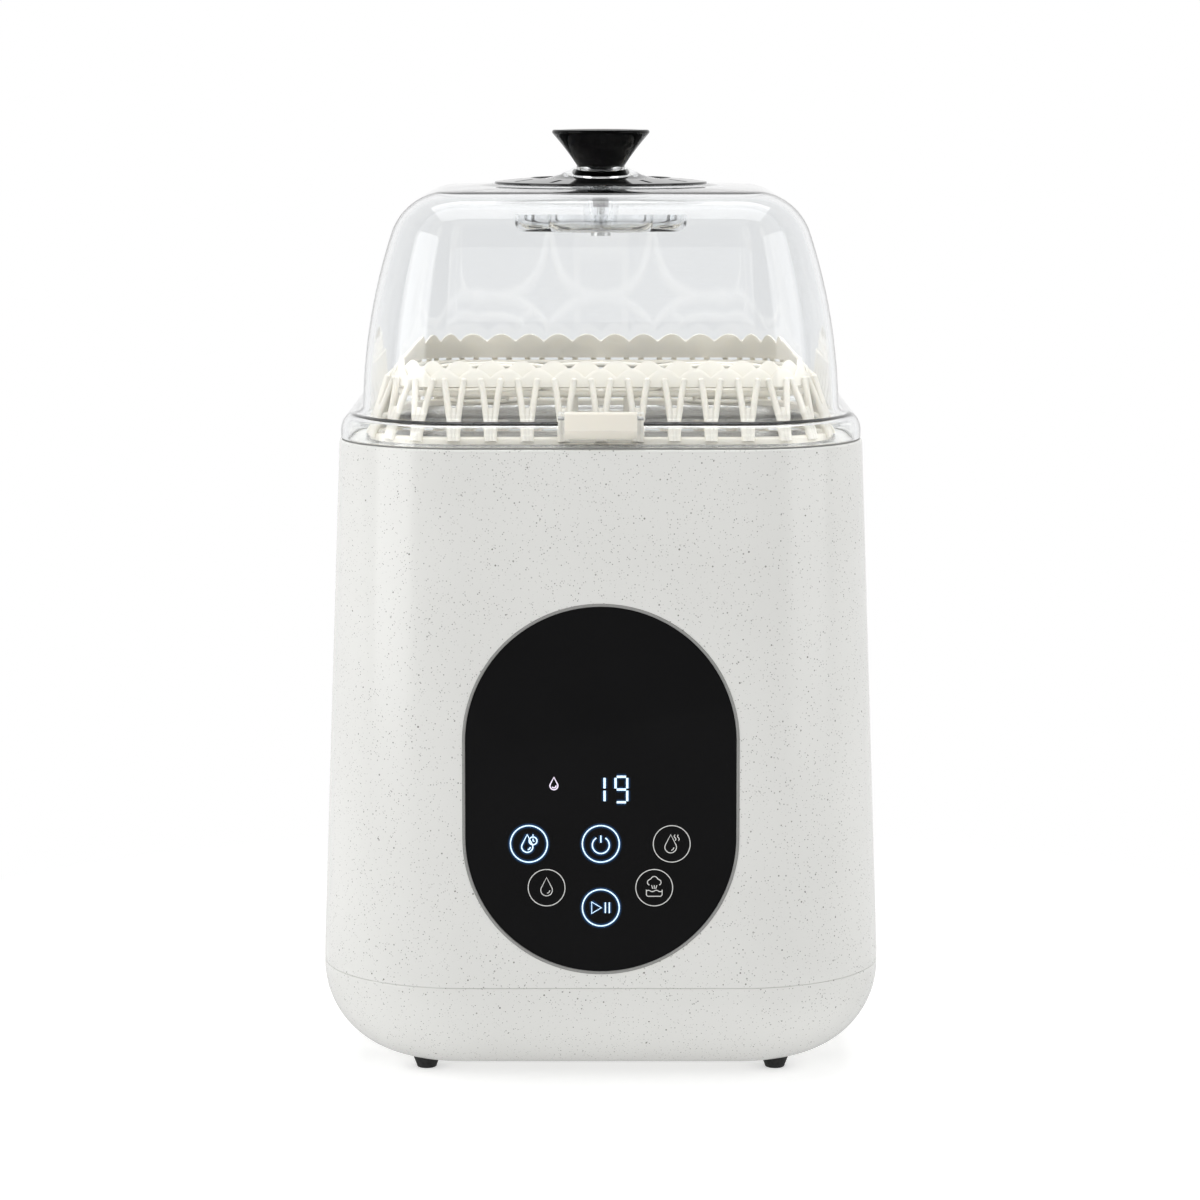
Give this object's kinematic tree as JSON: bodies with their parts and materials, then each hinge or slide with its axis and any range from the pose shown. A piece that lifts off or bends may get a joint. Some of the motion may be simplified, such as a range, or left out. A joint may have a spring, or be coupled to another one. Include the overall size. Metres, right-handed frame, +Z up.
{
  "type": "bottle washer and steam sterilizer",
  "caption": "Countertop baby-bottle washer and steam sterilizer: speckled tapered body, oval touch panel, clear domed lift-off lid with knob, scalloped tray, rear water tanks.",
  "frame": {"origin": "on the table under the middle of the body", "axes": "+Z up, the control panel faces -Y, +X to the right seen from the front"},
  "size_m": [0.277, 0.3353, 0.464],
  "materials": {
    "speckled_shell": "off-white moulded plastic with fine dark specks, satin",
    "cream_plastic": "plain cream, satin",
    "clear_lid": "clear moulded plastic, gloss",
    "gloss_black": "high gloss",
    "bezel_grey": "satin",
    "tub_steel": "brushed",
    "screw_steel": "plain",
    "foot_rubber": "matt",
    "seal_rubber": "matt",
    "hose_rubber": "matt",
    "grey_plastic": "satin",
    "dark_plastic": "satin",
    "clear_tank": "clear moulded plastic",
    "smoke_tank": "smoke-tinted moulded plastic",
    "circuit_board": "solder mask",
    "filter_foam": "open foam"
  },
  "bodies": {
    "body": {"housing": "speckled_shell", "base_shell": "speckled_shell", "feet": "foot_rubber", "base_screws": "screw_steel", "cord_gland": "foot_rubber", "top_deck": "speckled_shell", "tub_gasket": "seal_rubber", "control_panel": "gloss_black", "panel_bezel": "bezel_grey", "display_board": "circuit_board", "display_module": "dark_plastic", "touch_pads": "cream_plastic", "display_screws": "screw_steel", "wash_tub": "tub_steel", "sump": "grey_plastic", "sump_filter": "tub_steel", "heater_ring": "screw_steel", "spray_manifold": "grey_plastic", "spray_posts": "cream_plastic", "bottle_rack": "cream_plastic", "accessory_tray": "cream_plastic", "tray_floor": "cream_plastic", "tray_rings": "cream_plastic", "neck_guides": "cream_plastic", "tank_bay": "grey_plastic", "tank_rim": "speckled_shell", "wash_pump_housing": "dark_plastic", "wash_pump_motor": "screw_steel", "drain_pump_body": "dark_plastic", "drain_pump_motor": "screw_steel", "fill_valve": "dark_plastic", "fan_housing": "dark_plastic", "fan_motor": "screw_steel", "air_duct": "grey_plastic", "air_heater": "screw_steel", "air_filter": "filter_foam", "main_board": "circuit_board", "board_screws": "screw_steel", "fill_hose": "hose_rubber", "drain_hose": "hose_rubber", "spray_hose": "hose_rubber"},
    "lid": {"lid_dome": "clear_lid", "lid_seal": "seal_rubber", "vent_ring": "gloss_black", "lid_knob": "gloss_black", "knob_screw": "screw_steel", "spray_deflector": "clear_lid", "latch_pin": "screw_steel"},
    "latch": {"lid_latch": "cream_plastic"},
    "clean_tank_unit": {"clean_tank": "clear_tank", "clean_tank_valve": "dark_plastic"},
    "clean_tank_cover": {"clean_tank_lid": "speckled_shell"},
    "clean_tank_bail": {"clean_tank_handle": "grey_plastic"},
    "waste_tank_unit": {"waste_tank": "smoke_tank", "waste_tank_valve": "dark_plastic"},
    "waste_tank_cover": {"waste_tank_lid": "speckled_shell"},
    "waste_tank_bail": {"waste_tank_handle": "grey_plastic"},
    "wash_pump_rotor": {"wash_pump_impeller": "cream_plastic"},
    "drain_pump_rotor": {"drain_pump_impeller": "cream_plastic"},
    "fan_rotor": {"fan_impeller": "grey_plastic"}
  },
  "joints": [
    {"name": "lid_lift", "type": "slide", "parent": "body", "child": "lid", "axis": [0, 0, 1], "range_m": [0, 0.16]},
    {"name": "latch_hinge", "type": "hinge", "parent": "lid", "child": "latch", "pos_m": [0, -0.1526, 0.3287], "axis": [-1, 0, 0], "range_deg": [0, 60]},
    {"name": "clean_tank_lift", "type": "slide", "parent": "body", "child": "clean_tank_unit", "axis": [0, 0, 1], "range_m": [0, 0.26]},
    {"name": "clean_tank_lid_pull", "type": "slide", "parent": "clean_tank_unit", "child": "clean_tank_cover", "axis": [0, 0, 1], "range_m": [0, 0.06]},
    {"name": "clean_tank_bail_turn", "type": "hinge", "parent": "clean_tank_cover", "child": "clean_tank_bail", "pos_m": [0.053, 0.1135, 0.3195], "axis": [1, 0, 0], "range_deg": [0, 90]},
    {"name": "waste_tank_lift", "type": "slide", "parent": "body", "child": "waste_tank_unit", "axis": [0, 0, 1], "range_m": [0, 0.26]},
    {"name": "waste_tank_lid_pull", "type": "slide", "parent": "waste_tank_unit", "child": "waste_tank_cover", "axis": [0, 0, 1], "range_m": [0, 0.06]},
    {"name": "waste_tank_bail_turn", "type": "hinge", "parent": "waste_tank_cover", "child": "waste_tank_bail", "pos_m": [-0.053, 0.1135, 0.3195], "axis": [1, 0, 0], "range_deg": [0, 90]},
    {"name": "wash_pump_spin", "type": "hinge", "parent": "body", "child": "wash_pump_rotor", "pos_m": [0, -0.029, 0.095], "axis": [0, 0, 1], "continuous": true},
    {"name": "drain_pump_spin", "type": "hinge", "parent": "body", "child": "drain_pump_rotor", "pos_m": [0.064, -0.029, 0.121], "axis": [1, 0, 0], "continuous": true},
    {"name": "fan_spin", "type": "hinge", "parent": "body", "child": "fan_rotor", "pos_m": [0.052, 0.108, 0.03], "axis": [0, 0, 1], "continuous": true}
  ]
}
